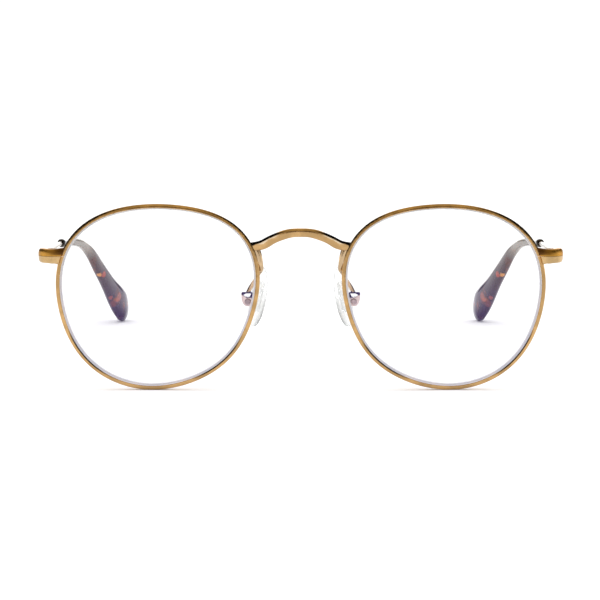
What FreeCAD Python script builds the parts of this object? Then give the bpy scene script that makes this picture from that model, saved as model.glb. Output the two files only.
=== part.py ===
"""Full-rim metal spectacles: gold wire front, clear lenses, acetate ear hooks.

Millimetres. +Z up, +Y from the lenses back to the ear hooks, +X towards the
wearer's left. The frame stands open on its two rims and its two ear hooks, and
the origin is the middle of its bounding box on the surface that it stands on.
The wearer's right half is modelled and mirrored. Every piece is one solid.
"""
import FreeCAD
import Part
import math
import os

V = FreeCAD.Vector
UP = V(0, 0, 1)
BACK = V(0, 1, 0)
ORIGIN = V(0, 70.07, 0.20)         # output origin in the modelling frame
SOLDER = 0.03                      # film between soldered pieces

# ---- rim and lens
BASE_R = 95.0                      # sphere that both rim grooves lie on
SPHERE_C = V(-35.8, BASE_R, 23.6)  # its centre, wearer's right
EYE_X, EYE_Z = -36.84, 24.30       # boxed centre of the right eye
# Radius of the rim's front face about the boxed centre, seen from the front:
# mean, then (cosine, sine) terms; angle 0 towards the nose and 90 degrees up.
EYE_MEAN_R = 24.963
EYE_WAVES = [(-0.138, 0.771), (1.063, 0.321), (0.085, 0.829),
             (-0.432, 0.009), (-0.068, 0.080), (-0.097, 0.006)]
PATH_N = 72                        # spline spans round the rim
RIM_HALF_W = 0.58                  # rim section, across
RIM_HALF_D = 0.90                  # rim section, front to back
GROOVE_DEPTH = 0.48
GROOVE_HALF = 0.54
SKIN_INSET = 0.10                  # how far the rim's cutting skin grows inwards
LENS_T = 2.0
LENS_GAP = 0.03
BEVEL_H = 0.40
BEVEL_HALF = 0.50
PLUG_HALF = 2.0                    # half depth of the lens blank at its edge
FILL_OFFSET = 0.15                 # eye opening filler, out from the rim's line
FILL_HALF = 2.6
APEX_RISE = 6.0                    # cone tips of blank and filler off the sphere

# ---- screws
SLOT_DEPTH = 0.22
SLOT_HALF_W = 0.12
SLOT_HALF_L = 1.2
OVERLAP = 0.1                      # shank into head, and slot cutter past head
HEAD_H = 0.50                      # rim-lock and pad screws
THREAD_GAP = 0.02
SHANK_GAP = 0.06                   # clearance bores of rim-lock and hinge screws
HEAD_GAP = 0.06                    # round a sunk head
SEAT_GAP = 0.02                    # under a head

# ---- endpiece, cut by a stepped seam
SPLIT_Z = 34.75
SPLIT_GAP = 0.08
SPLIT_Y = 6.60                     # where the seam turns up
END_H = 3.96                       # endpiece height at the lock screw
RIM_SCREW_X, RIM_SCREW_Y = -63.80, 3.84
RIM_SCREW_R = 0.55
RIM_SCREW_HEAD_R = 0.88
RIM_SCREW_SINK = 0.60              # endpiece underside to the head's shoulder
RIM_SCREW_REACH = 1.25             # above the seam
RIM_BORE_END = 0.10                # bore beyond the screw's end

# ---- hinge: x towards the nose, y back, z up the pin, origin in its middle
TILT = 3.95                        # temple slope in degrees
PIVOT = V(-64.50, 10.0, 34.36)
KNUCKLE_R = 1.25
KNUCKLE_GAP = 0.03                 # between knuckles, along the pin
FRONT_KNUCKLE_ROOM = 0.05          # round the temple's knuckle
REAR_KNUCKLE_ROOM = 0.06           # round the front's knuckles
HINGE_HALF = 3.30 / 2
MID_HALF = 1.10 / 2                # temple's knuckle
PIN_R = 0.60
PIN_HEAD_R = 0.92
PIN_HEAD_H = 0.46
PIN_PROUD = 0.10                   # at both ends
BUTT_GAP = 0.05                    # between temple and endpiece
SEAT_X = -1.30                     # face that the leaves are soldered to
LEAF_X = SEAT_X + SOLDER
LEAF_INNER_X = -0.72

# ---- nose pad, its box and screw
PAD_AXIS = V(-13.70, 8.85, 22.35)  # pad screw, along Y
PAD_SCREW_R = 0.50
PAD_SCREW_HEAD_R = 0.85
PAD_SCREW_PROUD = 0.18             # behind the rear cheek
BOX_GAP = 1.05                     # between the pad box cheeks
CHEEK_T = 0.45
BOX_HALF = BOX_GAP / 2 + CHEEK_T
BOX_TOP = 2.55                     # above the screw
SLOT_TOP = 1.30
# x, z from the screw
CHEEK = [(-1.50, BOX_TOP), (1.10, BOX_TOP), (1.30, 2.27), (1.30, 0.60),
         (1.05, -0.55), (0.42, -1.15), (-0.55, -1.15), (-1.25, -0.50),
         (-1.62, 0.60), (-1.70, 2.20)]
WINDOW = [(-1.22, 1.78), (-0.45, 2.17), (0.92, 2.17), (0.50, 1.42), (0.00, 1.08)]
PAD_C = V(-10.95, 10.60, 23.35)
PAD_L, PAD_W, PAD_T = 15.6, 7.4, 2.3
PAD_STATIONS = 19
PAD_END = 0.994                    # outermost station, fraction of half length
PLATE_HALF_L, PLATE_HALF_W, PLATE_HALF_T = 4.0, 1.6, 0.22
LUG_T = 0.85
LUG_HALF_H = 0.8
LUG_EYE_R = 1.00
INSERT_GAP = 0.04

# ---- temple
FLAT_X = -67.46                    # flat on the outside of the front end
CORE_ROOM_R = 0.58 + 0.06          # core wire inside the tip, and its gap

# Stations: x, y, z of the centre line, then the section's half size across
# and its half size along the reference direction given to sweep().
ARM = [                            # half thickness, half height
    (-66.58, 9.60, 34.39, 0.97, 1.60), (-66.58, 12.0, 34.22, 0.97, 1.60),
    (-66.58, 15.5, 33.98, 0.97, 1.50), (-66.60, 19.5, 33.70, 0.78, 1.25),
    (-66.56, 24.0, 33.39, 0.66, 1.00), (-66.65, 31.0, 32.91, 0.64, 0.86),
    (-66.85, 42.0, 32.15, 0.63, 0.80), (-67.10, 56.0, 31.19, 0.62, 0.76),
    (-67.25, 70.0, 30.22, 0.61, 0.70), (-67.25, 80.0, 29.53, 0.60, 0.63),
    (-67.20, 84.5, 29.21, 0.58, 0.58), (-67.05, 90.0, 28.80, 0.58, 0.58),
    (-66.35, 97.0, 28.25, 0.58, 0.58), (-65.00, 103.0, 27.60, 0.58, 0.58),
    (-63.35, 108.5, 26.55, 0.58, 0.58), (-62.10, 112.8, 24.90, 0.58, 0.58),
    (-60.75, 116.5, 22.50, 0.58, 0.58), (-59.45, 120.3, 19.30, 0.58, 0.58),
    (-57.55, 125.2, 14.90, 0.58, 0.58), (-55.65, 130.0, 10.50, 0.58, 0.58),
    (-54.12, 133.6, 7.20, 0.56, 0.56),
]
ARM_POWERS = [3.6, 3.6, 3.6, 3.2, 2.8, 2.4] + [2.0] * (len(ARM) - 6)
CORE_START = (-67.215, 83.0, 29.31)
CORE_END = (-53.93, 133.95, 6.88)
CORE_PATH = [CORE_START] + [station[:3] for station in ARM[10:-1]] + [CORE_END]
TIP = [                            # ear hook: half thickness, half breadth
    (-67.20, 84.95, 29.18, 0.96, 1.00), (-67.19, 85.20, 29.16, 1.08, 1.12),
    (-67.17, 86.20, 29.09, 1.15, 1.18), (-67.05, 90.0, 28.80, 1.15, 1.18),
    (-66.35, 97.0, 28.25, 1.15, 1.18), (-65.00, 103.0, 27.60, 1.15, 1.18),
    (-63.35, 108.5, 26.55, 1.16, 1.26), (-62.10, 112.8, 24.90, 1.18, 1.46),
    (-60.75, 116.5, 22.50, 1.26, 1.82), (-59.45, 120.3, 19.30, 1.38, 2.15),
    (-57.55, 125.2, 14.90, 1.54, 2.50), (-55.65, 130.0, 10.50, 1.76, 3.28),
    (-54.12, 133.6, 7.24, 1.94, 4.05), (-53.25, 136.3, 4.98, 1.90, 4.25),
    (-52.90, 138.0, 3.52, 1.70, 3.80), (-52.60, 139.1, 2.57, 1.36, 3.02),
    (-52.40, 139.8, 1.97, 0.90, 2.00), (-52.33, 140.1, 1.72, 0.42, 0.95),
]
BRIDGE = [                         # wearer's right half: half depth, half height
    (0.0, 1.95, 41.03, 0.88, 1.16), (-1.9, 1.98, 40.97, 0.88, 1.17),
    (-3.9, 2.10, 40.58, 0.88, 1.23), (-5.7, 2.28, 39.93, 0.88, 1.22),
    (-7.3, 2.52, 39.20, 0.88, 1.24), (-8.6, 2.80, 38.43, 0.88, 1.31),
    (-9.6, 3.06, 37.87, 0.86, 1.29), (-10.7, 3.36, 37.51, 0.82, 1.23),
    (-11.9, 3.66, 37.28, 0.76, 1.18), (-13.1, 3.84, 37.13, 0.72, 1.15),
]
NECK = [                           # pad arm: half width, half depth
    (-11.50, 3.66, 37.15, 0.86, 0.62), (-11.20, 3.60, 36.10, 0.90, 0.62),
    (-10.84, 3.54, 34.90, 0.86, 0.62), (-10.50, 3.50, 33.60, 0.74, 0.60),
    (-10.27, 3.55, 32.45, 0.63, 0.58), (-10.16, 4.00, 31.45, 0.57, 0.56),
    (-10.40, 4.85, 30.75, 0.55, 0.55), (-10.80, 5.80, 30.10, 0.55, 0.55),
    (-11.20, 6.75, 29.30, 0.55, 0.55), (-11.55, 7.70, 28.45, 0.55, 0.55),
    (-12.00, 8.45, 27.60, 0.55, 0.55), (-12.55, 8.80, 26.75, 0.55, 0.55),
    (-13.10, 8.88, 25.85, 0.55, 0.55), (-13.55, 8.86, 24.95, 0.55, 0.55),
    (-13.70, 8.86, 24.60, 0.55, 0.55),
]
ENDPIECE = [                       # half thickness, half height
    (-60.6, 3.94, 34.70, 0.98, 2.32), (-61.5, 3.90, 34.68, 1.04, 2.18),
    (-62.5, 3.84, 34.68, 1.20, 2.04), (-63.6, 3.82, 34.71, 1.32, 1.94),
    (-64.9, 4.00, 34.75, 1.30, 1.88), (-65.93, 4.55, 34.76, 1.13, 1.87),
    (-66.56, 5.65, 34.73, 1.08, 1.86), (-66.70, 6.95, 34.65, 1.03, 1.84),
    (-66.68, 8.50, 34.52, 0.95, 1.78), (-66.65, 10.6, 34.36, 0.88, 1.70),
]


# -------------------------------------------------------------------- helpers
def unit(vector):
    result = V(vector)
    result.normalize()
    return result


def periodic_poles(points):
    """Control points of the uniform closed cubic spline through points."""
    count = len(points)
    poles = [V(p) for p in points]
    for _ in range(60):
        for j in range(count):
            poles[j] = (points[j] * 6 - poles[j - 1] - poles[(j + 1) % count]) * 0.25
    return poles


def uniform_knots(spans):
    return [float(i) for i in range(spans + 1)]


def solid_of(faces):
    shell = Part.makeShell(faces)
    shell.sewShape()
    # Sewing may wrap the shell in a compound or turn it inside out.
    if shell.ShapeType != "Shell":
        shell = shell.Shells[0]
    solid = Part.makeSolid(shell)
    if solid.Volume < 0:
        solid.reverse()
    return solid


def one_solid(shape):
    """Largest solid, dropping the slivers that a cut leaves."""
    return max(shape.Solids, key=lambda solid: solid.Volume)


def superellipse(across, along, power, count, start):
    points = []
    for i in range(count):
        angle = 2 * math.pi * (i + 0.5) / count + start
        c, s = math.cos(angle), math.sin(angle)
        points.append((across * math.copysign(abs(c) ** (2.0 / power), c),
                       along * math.copysign(abs(s) ** (2.0 / power), s)))
    return points


def sweep(stations, reference, power=2.0, count=16, start=0.0):
    """Solid swept through stations (x, y, z, half across, half along reference).

    power is the superellipse power, one value or one per station, count the
    points round a section and start the angle of the closing seam.
    """
    centres = [V(*station[:3]) for station in stations]
    params = [0.0]
    for before, after in zip(centres, centres[1:]):
        params.append(params[-1] + (after - before).Length)
    axis = Part.BSplineCurve()
    axis.interpolate(Points=centres, Parameters=params)
    powers = power if isinstance(power, list) else [power] * len(stations)
    sections = []
    for centre, param, station, section_power in zip(centres, params, stations, powers):
        tangent = unit(axis.tangent(param)[0])
        along = unit(reference - tangent * reference.dot(tangent))
        across = tangent.cross(along)
        outline = superellipse(station[3], station[4], section_power, count, start)
        sections.append(periodic_poles(
            [centre + across * a + along * b for a, b in outline]))
    curves = []
    for j in range(count):
        curve = Part.BSplineCurve()
        curve.interpolate(Points=[s[j] for s in sections], Parameters=params)
        curves.append(curve)
    poles = [list(row) for row in zip(*[curve.getPoles() for curve in curves])]
    ring_mults, ring_knots = [1] * (count + 1), uniform_knots(count)
    side = Part.BSplineSurface()
    side.buildFromPolesMultsKnots(
        poles, curves[0].getMultiplicities(), ring_mults,
        curves[0].getKnots(), ring_knots, False, True, 3, 3)
    faces = [side.toShape()]
    for section in (sections[0], sections[-1]):
        curve = Part.BSplineCurve()
        curve.buildFromPolesMultsKnots(section, ring_mults, ring_knots, True, 3)
        faces.append(Part.Face(Part.Wire([curve.toShape()])))
    return solid_of(faces)


def box(x0, x1, y0, y1, z0, z1):
    return Part.makeBox(x1 - x0, y1 - y0, z1 - z0, V(x0, y0, z0))


def cyl(radius, base, axis, length):
    return Part.makeCylinder(radius, length, base, axis)


def prism(points, travel):
    return Part.Face(Part.makePolygon(points + points[:1])).extrude(travel)


def mirrored(shape):
    return shape.mirror(V(0, 0, 0), V(1, 0, 0))


def slotted_screw(head, shank, slot):
    return one_solid(head.fuse(shank).removeSplitter().cut(slot))


# ---------------------------------------------------------------- rim and lens
def eye_point(angle):
    """Point of the rim's centre line, on the base sphere."""
    radius = EYE_MEAN_R
    for k, (cosine, sine) in enumerate(EYE_WAVES, 1):
        radius += cosine * math.cos(k * angle) + sine * math.sin(k * angle)
    x = EYE_X + radius * math.cos(angle)
    z = EYE_Z + radius * math.sin(angle)
    face_r = BASE_R + RIM_HALF_D
    y = SPHERE_C.y - math.sqrt(face_r ** 2 - (x - SPHERE_C.x) ** 2
                               - (z - SPHERE_C.z) ** 2)
    return SPHERE_C + (V(x, y, z) - SPHERE_C) * (BASE_R / face_r)


def rim_frame():
    """Spline poles of the centre line and its forward and outward directions."""
    points, forwards, outwards = [], [], []
    for i in range(PATH_N):
        angle = 2 * math.pi * i / PATH_N
        point = eye_point(angle)
        forward = unit(point - SPHERE_C)
        outward = unit(forward.cross(eye_point(angle + 1e-4) - eye_point(angle - 1e-4)))
        if outward.dot(point - V(EYE_X, point.y, EYE_Z)) < 0:
            outward = outward * -1
        points.append(point)
        forwards.append(forward)
        outwards.append(outward)
    return [periodic_poles(row) for row in (points, forwards, outwards)]


LINE_POLES, FORWARD_POLES, OUTWARD_POLES = rim_frame()


def ring_row(u, v):
    """Poles of the curve u outwards and v forwards of the rim's centre line."""
    return [point + outward * u + forward * v for point, outward, forward
            in zip(LINE_POLES, OUTWARD_POLES, FORWARD_POLES)]


def ring_face(rows, degree):
    """Closed strip: rows of poles round the ring, clamped across the strip."""
    spans = len(rows) - degree
    mults = [degree + 1] + [1] * (spans - 1) + [degree + 1]
    surface = Part.BSplineSurface()
    surface.buildFromPolesMultsKnots(
        [list(column) for column in zip(*rows)], [1] * (PATH_N + 1), mults,
        uniform_knots(PATH_N), uniform_knots(spans), True, False, 3, degree)
    return surface.toShape()


def ring_strip(profile, degree):
    return ring_face([ring_row(u, v) for u, v in profile], degree)


def eye_plug(profile):
    """Solid filling the eye; profile (u, v) is its edge from front to back."""
    faces = [ring_strip(pair, 1) for pair in zip(profile, profile[1:])]
    for (u, v), rise in ((profile[0], APEX_RISE), (profile[-1], -APEX_RISE)):
        apex = SPHERE_C + V(-1.0, -(BASE_R + rise), 0.6)
        faces.append(ring_face([ring_row(u, v), [apex] * PATH_N], 1))
    return solid_of(faces)


def rim_profile():
    """Rim section (u, v) outside the groove, from front lip to back lip."""
    w, d = RIM_HALF_W, RIM_HALF_D
    front = [(-w, GROOVE_HALF), (-w, 0.80 * d), (-0.96 * w, 1.00 * d),
             (-0.45 * w, 1.03 * d), (0.45 * w, 1.03 * d), (0.98 * w, 0.97 * d),
             (1.04 * w, 0.50 * d)]
    return front + [(1.04 * w, 0.0)] + [(u, -v) for u, v in reversed(front)]


def make_rim():
    groove = (-RIM_HALF_W + GROOVE_DEPTH, 0.0)
    whole = solid_of([
        ring_strip(rim_profile(), 3),
        ring_strip([(-RIM_HALF_W, -GROOVE_HALF), groove], 1),
        ring_strip([groove, (-RIM_HALF_W, GROOVE_HALF)], 1)])
    return one_solid(whole.cut(box(-64, -58, 0, 9, SPLIT_Z - SPLIT_GAP / 2,
                                   SPLIT_Z + SPLIT_GAP / 2)))


def make_rim_skin():
    """Rim without groove, grown by the solder film: cuts what is soldered on."""
    skin = []
    for u, v in rim_profile():
        if u > 0:
            u += SOLDER
        elif u < -0.9 * RIM_HALF_W:
            u -= SKIN_INSET
        skin.append((u, v * (1 + SOLDER / RIM_HALF_D)))
    return solid_of([ring_strip(skin, 3), ring_strip([skin[-1], skin[0]], 1)])


def make_lens():
    edge = -RIM_HALF_W - LENS_GAP
    plug = eye_plug([(edge, PLUG_HALF), (edge, BEVEL_HALF), (edge + BEVEL_H, 0.0),
                     (edge, -BEVEL_HALF), (edge, -PLUG_HALF)])
    meniscus = Part.makeSphere(BASE_R + LENS_T / 2, SPHERE_C).cut(
        Part.makeSphere(BASE_R - LENS_T / 2, SPHERE_C))
    return one_solid(plug.common(meniscus))


# --------------------------------------------------------- bridge and pad arms
def make_bridge(rim_skin, eye_fill):
    left_half = [(-x, y, z, a, b) for x, y, z, a, b in reversed(BRIDGE[1:])]
    bridge = sweep(left_half + BRIDGE, UP, power=2.9, count=20)
    for cutter in (rim_skin, mirrored(rim_skin), eye_fill, mirrored(eye_fill)):
        bridge = bridge.cut(cutter)
    return one_solid(bridge)


def make_pad_arm(rim_skin):
    # The slight Z keeps the reference off the centre line's direction.
    arm = sweep(NECK, V(0, -1, 0.001), power=2.4)
    arm = one_solid(arm.cut(rim_skin))
    bridge_room = sweep([(x, y, z, a + SOLDER, b + SOLDER)
                         for x, y, z, a, b in BRIDGE[3:]], UP, power=2.9, count=20)
    arm = one_solid(arm.cut(bridge_room))
    c = PAD_AXIS
    return one_solid(arm.cut(box(c.x - 4, c.x + 4, c.y - 3, c.y + 3,
                                 c.z - 5, c.z + BOX_TOP + SOLDER)))


# -------------------------------------------------------------------- pad box
def pad_box_prism(outline, half, fillet):
    """Outline (x, z from the screw) extruded along Y, corners rounded."""
    c = PAD_AXIS
    solid = prism([V(c.x + x, c.y - half, c.z + z) for x, z in outline],
                  V(0, 2 * half, 0))
    corners = [edge for edge in solid.Edges
               if abs(edge.Vertexes[0].Y - edge.Vertexes[-1].Y) > 1.5]
    return solid.makeFillet(fillet, corners)


def make_pad_box():
    c = PAD_AXIS
    body = pad_box_prism(CHEEK, BOX_HALF, 0.28)
    body = body.cut(box(c.x - 3, c.x + 3, c.y - BOX_GAP / 2, c.y + BOX_GAP / 2,
                        c.z - 4, c.z + SLOT_TOP))
    body = body.cut(pad_box_prism(WINDOW, BOX_HALF + 1, 0.09))
    # clearance bore in the front cheek, tighter bore in the rear one
    body = body.cut(cyl(PAD_SCREW_R + 0.04, V(c.x, c.y - 3, c.z), BACK, 3))
    body = body.cut(cyl(PAD_SCREW_R + THREAD_GAP, c, BACK, 3))
    return one_solid(body)


def make_pad_screw():
    c = PAD_AXIS
    shoulder = c.y - BOX_HALF - SEAT_GAP
    top = shoulder - HEAD_H
    head = cyl(PAD_SCREW_HEAD_R, V(c.x, top, c.z), BACK, HEAD_H)
    # the front rim is the first or the third edge of the cylinder
    first, _, third = head.Edges
    head = head.makeFillet(
        0.16, [first if first.BoundBox.YMax < shoulder - 0.4 else third])
    start = shoulder - OVERLAP
    shank = cyl(PAD_SCREW_R, V(c.x, start, c.z), BACK,
                c.y + BOX_HALF + PAD_SCREW_PROUD - start)
    slot = box(c.x - SLOT_HALF_L, c.x + SLOT_HALF_L, top - OVERLAP, top + SLOT_DEPTH,
               c.z - SLOT_HALF_W, c.z + SLOT_HALF_W)
    return slotted_screw(head, shank, slot)


# ----------------------------------------------------------------------- pads
PAD_N = unit(V(0.87, 0.45, -0.21))       # through the pad, towards the nose
PAD_UP = unit(UP - PAD_N * PAD_N.z)      # along the pad
PAD_ACROSS = PAD_N.cross(PAD_UP)
PAD_PLACE = FreeCAD.Placement(FreeCAD.Matrix(
    PAD_UP.x, PAD_ACROSS.x, PAD_N.x, PAD_C.x,
    PAD_UP.y, PAD_ACROSS.y, PAD_N.y, PAD_C.y,
    PAD_UP.z, PAD_ACROSS.z, PAD_N.z, PAD_C.z, 0, 0, 0, 1))


def pad_insert(grow):
    """Plate and lug in the pad; grow enlarges it to cut its room."""
    c = PAD_AXIS
    length, width, thick = (
        half + grow for half in (PLATE_HALF_L, PLATE_HALF_W, PLATE_HALF_T))
    plate = box(-length, length, -width, width, -thick, thick)
    plate = plate.makeFillet(1.2, [
        edge for edge in plate.Edges
        if edge.Length < 1.0
        and abs(edge.Vertexes[0].Z - edge.Vertexes[-1].Z) > 0.3])
    plate.Placement = PAD_PLACE
    front, rear = c.y - LUG_T / 2, c.y + LUG_T / 2
    half_h = LUG_HALF_H + grow
    outline = [(-10.75, 9.95), (-11.20, 10.70), (-12.20, rear), (-12.90, rear),
               (-12.90, front), (-11.95, front)]
    wire = Part.makePolygon([V(x, y, c.z - half_h) for x, y in outline + outline[:1]])
    if grow:
        wire = wire.makeOffset2D(grow, 2)
    stem = Part.Face(wire).extrude(V(0, 0, 2 * half_h))
    lug = box(c.x, -12.6, front - grow, rear + grow, c.z - half_h, c.z + half_h)
    eye = cyl(LUG_EYE_R + grow, V(c.x, front - grow, c.z), BACK, LUG_T + 2 * grow)
    return plate.fuse([stem, lug, eye]).removeSplitter()


def make_pad_core():
    bore = cyl(PAD_SCREW_R + 0.05, V(PAD_AXIS.x, 0, PAD_AXIS.z), BACK, 30)
    return one_solid(pad_insert(0.0).cut(bore))


def make_nose_pad():
    stations = []
    for i in range(PAD_STATIONS):
        q = math.sin((-1 + 2.0 * i / (PAD_STATIONS - 1)) * math.pi / 2)
        q = max(-PAD_END, min(PAD_END, q))   # -1 at the bottom, 1 at the top
        taper = math.sqrt(1 - q * q)
        fullness = 1.0 - 0.16 * q            # fuller towards the bottom
        c = (PAD_C + PAD_UP * (q * PAD_L / 2) + PAD_ACROSS * (0.35 * q * q - 0.1)
             + PAD_N * (-0.25 * q * q))
        stations.append((c.x, c.y, c.z, PAD_W / 2 * fullness * taper ** 0.92,
                         PAD_T / 2 * taper ** 0.80))
    body = sweep(stations, PAD_N, power=2.3, count=20)
    return one_solid(body.cut(pad_insert(INSERT_GAP)))


# --------------------------------------------------------------------- hinges
def at_hinge(shape):
    shape.Placement = FreeCAD.Placement(
        PIVOT, FreeCAD.Rotation(V(1, 0, 0), -TILT))
    return shape


def hinge_cutter(x0, y0, y1):
    return at_hinge(box(x0, 3, y0, y1, -5, 5))


def pin_cyl(radius, z, length):
    return cyl(radius, V(0, 0, z), UP, length)


def make_hinge_front():
    front = box(LEAF_X, LEAF_INNER_X, -3.25, -BUTT_GAP, -1.45, 1.45)
    tongue = box(LEAF_X, -0.25, -KNUCKLE_R, -BUTT_GAP, -HINGE_HALF, HINGE_HALF)
    barrel = pin_cyl(KNUCKLE_R, -HINGE_HALF, 2 * HINGE_HALF)
    front = front.fuse([tongue, barrel]).removeSplitter()
    room_half = MID_HALF + KNUCKLE_GAP
    head_seat = HINGE_HALF + PIN_PROUD - PIN_HEAD_H - SEAT_GAP
    for cutter in (pin_cyl(KNUCKLE_R + FRONT_KNUCKLE_ROOM, -room_half, 2 * room_half),
                   pin_cyl(PIN_R + THREAD_GAP, -HINGE_HALF - 1, 2.2),
                   pin_cyl(PIN_R + SHANK_GAP, 0, 4),
                   pin_cyl(PIN_HEAD_R + HEAD_GAP, head_seat, 1)):
        front = front.cut(cutter)
    return at_hinge(one_solid(front))


def make_hinge_temple():
    rear = box(LEAF_X, LEAF_INNER_X, BUTT_GAP, 5.2, -1.35, 1.35)
    for z in (MID_HALF, -MID_HALF - 4):
        rear = rear.cut(pin_cyl(KNUCKLE_R + REAR_KNUCKLE_ROOM, z, 4))
    web = box(LEAF_X, -0.2, BUTT_GAP, KNUCKLE_R, -MID_HALF, MID_HALF)
    barrel = pin_cyl(KNUCKLE_R, -MID_HALF, 2 * MID_HALF)
    rear = rear.fuse([web, barrel]).removeSplitter()
    return at_hinge(one_solid(rear.cut(pin_cyl(PIN_R + SHANK_GAP, -3, 6))))


def make_hinge_screw():
    top = HINGE_HALF + PIN_PROUD
    head = pin_cyl(PIN_HEAD_R, top - PIN_HEAD_H, PIN_HEAD_H)
    shank = pin_cyl(PIN_R, -top, 2 * HINGE_HALF)
    slot = box(-SLOT_HALF_L, SLOT_HALF_L, -SLOT_HALF_W, SLOT_HALF_W,
               top - SLOT_DEPTH, HINGE_HALF + 1)
    return at_hinge(slotted_screw(head, shank, slot))


# ------------------------------------------------------------------ endpieces
END_BOTTOM = SPLIT_Z - END_H / 2


def rim_screw_cyl(radius, z, length):
    return cyl(radius, V(RIM_SCREW_X, RIM_SCREW_Y, z), UP, length)


def make_endpieces(rim_skin, eye_fill):
    whole = sweep(ENDPIECE, UP, power=3.3, count=24)
    whole = whole.cut(rim_skin).cut(eye_fill)
    whole = whole.cut(hinge_cutter(-6, 0.0, 5))           # butt face
    whole = whole.cut(hinge_cutter(SEAT_X, -3.35, 5))     # leaf seat
    whole = one_solid(whole)
    low = box(-70, -58, -5, SPLIT_Y, 20, SPLIT_Z - SPLIT_GAP / 2)
    low_room = box(-70, -58, -5, SPLIT_Y + SPLIT_GAP, 20, SPLIT_Z + SPLIT_GAP / 2)
    upper = whole.cut(low_room).cut(
        rim_screw_cyl(RIM_SCREW_R + THREAD_GAP, SPLIT_Z - 1,
                      1 + RIM_SCREW_REACH + RIM_BORE_END))
    lower = whole.common(low).cut(
        rim_screw_cyl(RIM_SCREW_R + SHANK_GAP, END_BOTTOM - 1, 4)).cut(
        rim_screw_cyl(RIM_SCREW_HEAD_R + HEAD_GAP, END_BOTTOM - 1,
                      1 + RIM_SCREW_SINK + SEAT_GAP))
    return one_solid(upper), one_solid(lower)


def make_rim_screw():
    shoulder = END_BOTTOM + RIM_SCREW_SINK
    bottom = shoulder - HEAD_H
    head = rim_screw_cyl(RIM_SCREW_HEAD_R, bottom, HEAD_H)
    shank = rim_screw_cyl(RIM_SCREW_R, shoulder - OVERLAP,
                          SPLIT_Z + RIM_SCREW_REACH - shoulder + OVERLAP)
    slot = box(RIM_SCREW_X - SLOT_HALF_L, RIM_SCREW_X + SLOT_HALF_L,
               RIM_SCREW_Y - SLOT_HALF_W, RIM_SCREW_Y + SLOT_HALF_W,
               bottom - OVERLAP, bottom + SLOT_DEPTH)
    return slotted_screw(head, shank, slot)


# -------------------------------------------------------------------- temples
def make_temple_arm():
    arm = sweep(ARM, UP, power=ARM_POWERS, count=20, start=math.pi)
    arm = arm.cut(hinge_cutter(-6, -5, BUTT_GAP))         # butt face
    arm = arm.cut(hinge_cutter(SEAT_X, 0, 5.6))           # leaf seat
    return one_solid(arm.cut(box(-70, FLAT_X, 0, 24, 20, 40)))


def make_temple_tip():
    core_room = sweep([point + (CORE_ROOM_R, CORE_ROOM_R) for point in CORE_PATH], UP)
    return one_solid(sweep(TIP, UP, power=2.25, count=24).cut(core_room))


# --------------------------------------------------------------------- output
def build():
    """All pieces by node name, in the modelling frame."""
    rim_skin = make_rim_skin()
    eye_fill = eye_plug([(FILL_OFFSET, FILL_HALF), (FILL_OFFSET, -FILL_HALF)])
    upper, lower = make_endpieces(rim_skin, eye_fill)
    right = {
        "rim": make_rim(), "lens": make_lens(),
        "endpiece_upper": upper, "endpiece_lower": lower,
        "rim_lock_screw": make_rim_screw(),
        "hinge_front": make_hinge_front(), "hinge_temple": make_hinge_temple(),
        "hinge_screw": make_hinge_screw(),
        "temple_arm": make_temple_arm(), "temple_tip": make_temple_tip(),
        "pad_arm": make_pad_arm(rim_skin), "pad_box": make_pad_box(),
        "pad_screw": make_pad_screw(),
        "pad_core": make_pad_core(), "nose_pad": make_nose_pad(),
    }
    nodes = {"bridge": make_bridge(rim_skin, eye_fill)}
    for name, shape in right.items():
        nodes[name + "_right"] = shape
        nodes[name + "_left"] = mirrored(shape)
    return nodes


os.makedirs("parts", exist_ok=True)
for name, shape in build().items():
    placed = shape.copy()
    placed.translate(ORIGIN * -1)
    placed.exportStep("parts/" + name + ".step")
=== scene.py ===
# Gilt wire-rimmed spectacles standing open on a pale table. The front faces -Y, the
# temples run back towards +Y, left pieces lie at +X and the table top is z = 0.
# The tips and pads are modelled for the right (-X) side in design millimetres, then
# moved into the frame's metres and mirrored for the left.
import bpy
import math
from math import radians
import numpy as np
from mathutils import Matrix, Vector


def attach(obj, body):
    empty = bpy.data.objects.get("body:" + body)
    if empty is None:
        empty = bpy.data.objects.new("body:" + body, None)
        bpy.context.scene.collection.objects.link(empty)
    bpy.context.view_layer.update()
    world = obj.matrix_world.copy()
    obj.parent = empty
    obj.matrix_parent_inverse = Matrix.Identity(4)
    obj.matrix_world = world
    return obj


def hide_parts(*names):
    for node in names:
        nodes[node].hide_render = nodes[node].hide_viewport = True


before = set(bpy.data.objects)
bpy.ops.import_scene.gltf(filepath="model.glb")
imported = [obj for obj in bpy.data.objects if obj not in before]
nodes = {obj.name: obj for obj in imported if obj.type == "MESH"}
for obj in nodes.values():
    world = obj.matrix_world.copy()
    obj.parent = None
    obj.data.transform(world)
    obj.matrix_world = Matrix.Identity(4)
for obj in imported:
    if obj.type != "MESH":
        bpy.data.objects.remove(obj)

MM = 0.001
DESIGN_ORIGIN = np.array([0.0, 70.07, 0.20])    # design point at the frame's origin, mm
SIDES = ("right", "left")

scene = bpy.context.scene


def to_frame(points):
    """Design millimetres to metres in the frame."""
    return (np.array(points) - DESIGN_ORIGIN) * MM


def place(x, y, z):
    return tuple(to_frame([x, y, z]).tolist())


def scaled(color, factor):
    return tuple(channel * factor for channel in color)


def arc(start, end):
    """A range given in degrees, as radians."""
    return radians(start), radians(end)


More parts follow.
